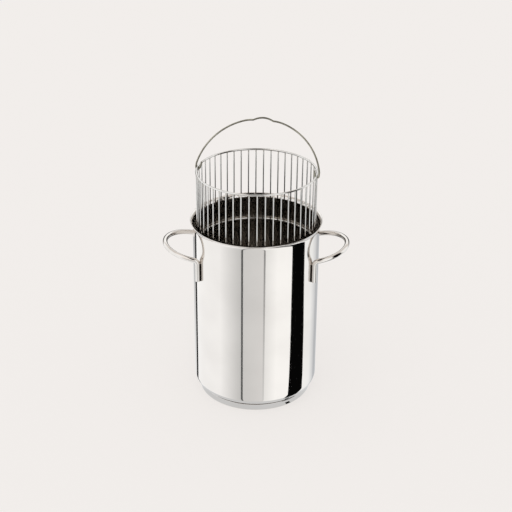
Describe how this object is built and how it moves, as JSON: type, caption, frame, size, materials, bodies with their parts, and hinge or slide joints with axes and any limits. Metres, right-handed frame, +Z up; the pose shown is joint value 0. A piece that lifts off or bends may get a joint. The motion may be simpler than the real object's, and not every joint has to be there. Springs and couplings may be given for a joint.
{
  "type": "asparagus pot",
  "caption": "Tall polished steel pot with a capsule base and rod side handles, and a lift-out round wire basket with upright wires and a swinging bail for cooking food standing up.",
  "frame": {"origin": "middle of the underside of the base, on the pot's axis", "axes": "+Z up along the pot's axis, +X towards the right-hand side handle, -Y towards the viewer of the picture"},
  "size_m": [0.2396, 0.1688, 0.3628],
  "materials": {
    "shell_steel": "polished",
    "handle_steel": "polished",
    "basket_steel": "gloss",
    "bail_steel": "gloss",
    "core_aluminium": "satin"
  },
  "bodies": {
    "pot": {"pot_shell": "shell_steel", "base_core": "core_aluminium", "base_cap": "shell_steel", "handle_left": "handle_steel", "handle_right": "handle_steel"},
    "basket": {"basket_rim_ring": "basket_steel", "basket_mid_hoop": "basket_steel", "basket_base_ring": "basket_steel", "basket_base_grid": "basket_steel", "bail_eyelet_left": "basket_steel", "bail_eyelet_right": "basket_steel", "basket_wire_01": "basket_steel", "basket_wire_02": "basket_steel", "basket_wire_03": "basket_steel", "basket_wire_04": "basket_steel", "basket_wire_05": "basket_steel", "basket_wire_06": "basket_steel", "basket_wire_07": "basket_steel", "basket_wire_08": "basket_steel", "basket_wire_09": "basket_steel", "basket_wire_10": "basket_steel", "basket_wire_11": "basket_steel", "basket_wire_12": "basket_steel", "basket_wire_13": "basket_steel", "basket_wire_14": "basket_steel", "basket_wire_15": "basket_steel", "basket_wire_16": "basket_steel", "basket_wire_17": "basket_steel", "basket_wire_18": "basket_steel", "basket_wire_19": "basket_steel", "basket_wire_20": "basket_steel", "basket_wire_21": "basket_steel", "basket_wire_22": "basket_steel", "basket_wire_23": "basket_steel", "basket_wire_24": "basket_steel", "basket_wire_25": "basket_steel", "basket_wire_26": "basket_steel", "basket_wire_27": "basket_steel", "basket_wire_28": "basket_steel", "basket_wire_29": "basket_steel", "basket_wire_30": "basket_steel", "basket_wire_31": "basket_steel", "basket_wire_32": "basket_steel", "basket_wire_33": "basket_steel", "basket_wire_34": "basket_steel", "basket_wire_35": "basket_steel", "basket_wire_36": "basket_steel", "basket_wire_37": "basket_steel", "basket_wire_38": "basket_steel", "basket_wire_39": "basket_steel", "basket_wire_40": "basket_steel", "basket_wire_41": "basket_steel", "basket_wire_42": "basket_steel", "basket_wire_43": "basket_steel", "basket_wire_44": "basket_steel", "basket_wire_45": "basket_steel", "basket_wire_46": "basket_steel", "basket_wire_47": "basket_steel", "basket_wire_48": "basket_steel"},
    "bail": {"bail": "bail_steel"}
  },
  "joints": [
    {"name": "basket_lift", "type": "slide", "parent": "pot", "child": "basket", "axis": [0, 0, 1], "range_m": [-0.0936, 0.15]},
    {"name": "bail_swing", "type": "hinge", "parent": "basket", "child": "bail", "pos_m": [0, 0, 0.30445], "axis": [0.9833, -0.1822, 0], "range_deg": [-31, 107]}
  ]
}
